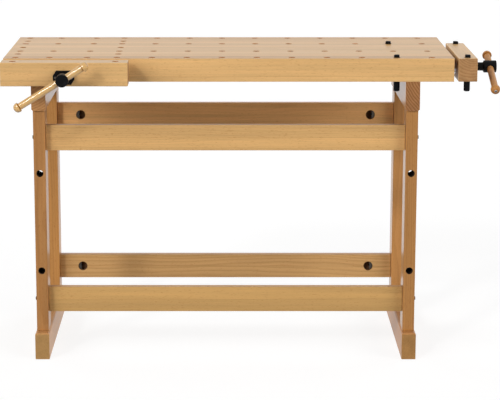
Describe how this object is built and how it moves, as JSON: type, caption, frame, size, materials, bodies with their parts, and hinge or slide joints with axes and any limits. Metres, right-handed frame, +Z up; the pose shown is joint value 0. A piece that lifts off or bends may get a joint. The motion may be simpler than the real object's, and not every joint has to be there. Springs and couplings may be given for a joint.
{
  "type": "woodworking bench with vises",
  "caption": "Beech woodworking bench on two bolted trestles, its top drilled with rows of dog holes, with a screw vise on the front and another on the right end.",
  "frame": {"origin": "on the floor, under the middle of the part's box", "axes": "+X along the bench towards the tail vise, +Y away from the worker, +Z up"},
  "size_m": [1.4552, 0.6906, 0.9107],
  "materials": {
    "beech_top": "oiled and lacquered, satin",
    "beech_stretcher": "lacquered, satin",
    "beech_trestle": "lacquered, satin",
    "beech_turned": "turned and lacquered",
    "black_iron": "black, satin",
    "black_plastic": "moulded, matt",
    "bright_steel": "ground bright",
    "zinc_steel": "zinc plated"
  },
  "bodies": {
    "bench_frame": {"front_apron": "beech_top", "back_apron": "beech_top", "top_panel": "beech_top", "left_end_rail": "beech_top", "right_end_rail": "beech_top", "left_foot": "beech_trestle", "left_crossbeam": "beech_trestle", "left_front_leg": "beech_trestle", "left_back_leg": "beech_trestle", "left_front_top_dowel": "beech_turned", "left_back_top_dowel": "beech_turned", "right_foot": "beech_trestle", "right_crossbeam": "beech_trestle", "right_front_leg": "beech_trestle", "right_back_leg": "beech_trestle", "right_front_top_dowel": "beech_turned", "right_back_top_dowel": "beech_turned", "upper_front_stretcher": "beech_stretcher", "upper_front_left_bolt": "black_iron", "upper_front_left_nut": "zinc_steel", "upper_front_right_bolt": "black_iron", "upper_front_right_nut": "zinc_steel", "upper_back_stretcher": "beech_stretcher", "upper_back_left_bolt": "black_iron", "upper_back_left_nut": "zinc_steel", "upper_back_right_bolt": "black_iron", "upper_back_right_nut": "zinc_steel", "lower_front_stretcher": "beech_stretcher", "lower_front_left_bolt": "black_iron", "lower_front_left_nut": "zinc_steel", "lower_front_right_bolt": "black_iron", "lower_front_right_nut": "zinc_steel", "lower_back_stretcher": "beech_stretcher", "lower_back_left_bolt": "black_iron", "lower_back_left_nut": "zinc_steel", "lower_back_right_bolt": "black_iron", "lower_back_right_nut": "zinc_steel", "front_vise_nut": "black_iron", "tail_vise_nut": "black_iron"},
    "front_jaw": {"front_jaw": "beech_top", "front_thrust_plate": "black_iron", "front_left_guide_rod": "bright_steel", "front_right_guide_rod": "bright_steel"},
    "front_screw": {"front_screw": "bright_steel", "front_hub": "black_iron"},
    "front_handle": {"front_handle": "beech_turned", "front_handle_knob": "beech_turned"},
    "tail_jaw": {"tail_jaw": "beech_top", "tail_thrust_plate": "black_iron", "tail_front_guide_rod": "bright_steel", "tail_back_guide_rod": "bright_steel"},
    "tail_screw": {"tail_screw": "bright_steel", "tail_hub": "black_iron"},
    "tail_handle": {"tail_handle": "beech_turned", "tail_handle_knob": "beech_turned"},
    "front_bench_dog": {"front_bench_dog": "black_plastic"},
    "front_tail_dog": {"front_tail_dog": "black_plastic"},
    "back_bench_dog": {"back_bench_dog": "black_plastic"},
    "back_tail_dog": {"back_tail_dog": "black_plastic"}
  },
  "joints": [
    {"name": "front_jaw_slide", "type": "slide", "parent": "bench_frame", "child": "front_jaw", "axis": [0, -1, 0], "range_m": [-0.02551, 0.11401]},
    {"name": "front_screw_turn", "type": "hinge", "parent": "front_jaw", "child": "front_screw", "pos_m": [-0.54455, -0.1767, 0.8583], "axis": [0, -1, 0], "range_deg": [-1530, 6840]},
    {"name": "front_handle_slide", "type": "slide", "parent": "front_screw", "child": "front_handle", "axis": [0.8508, 0, 0.5255], "range_m": [-0.0495, 0.1255]},
    {"name": "tail_jaw_slide", "type": "slide", "parent": "bench_frame", "child": "tail_jaw", "axis": [1, 0, 0], "range_m": [-0.01201, 0.12751]},
    {"name": "tail_screw_turn", "type": "hinge", "parent": "tail_jaw", "child": "tail_screw", "pos_m": [0.58245, 0.0003, 0.8523], "axis": [1, 0, 0], "range_deg": [-720, 7650]},
    {"name": "tail_handle_slide", "type": "slide", "parent": "tail_screw", "child": "tail_handle", "axis": [0, 0.9438, 0.3305], "range_m": [-0.051, 0.124]},
    {"name": "front_bench_dog_lift", "type": "slide", "parent": "bench_frame", "child": "front_bench_dog", "axis": [0, 0, 1], "range_m": [-0.008, 0.06]},
    {"name": "front_tail_dog_lift", "type": "slide", "parent": "tail_jaw", "child": "front_tail_dog", "axis": [0, 0, 1], "range_m": [-0.008, 0.06]},
    {"name": "back_bench_dog_lift", "type": "slide", "parent": "bench_frame", "child": "back_bench_dog", "axis": [0, 0, 1], "range_m": [-0.008, 0.06]},
    {"name": "back_tail_dog_lift", "type": "slide", "parent": "tail_jaw", "child": "back_tail_dog", "axis": [0, 0, 1], "range_m": [-0.008, 0.06]}
  ],
  "couplings": [
    {"joint": "front_jaw_slide", "follows": "front_screw_turn", "m_per_rad": 0.00095493},
    {"joint": "tail_jaw_slide", "follows": "tail_screw_turn", "m_per_rad": 0.00095493}
  ]
}
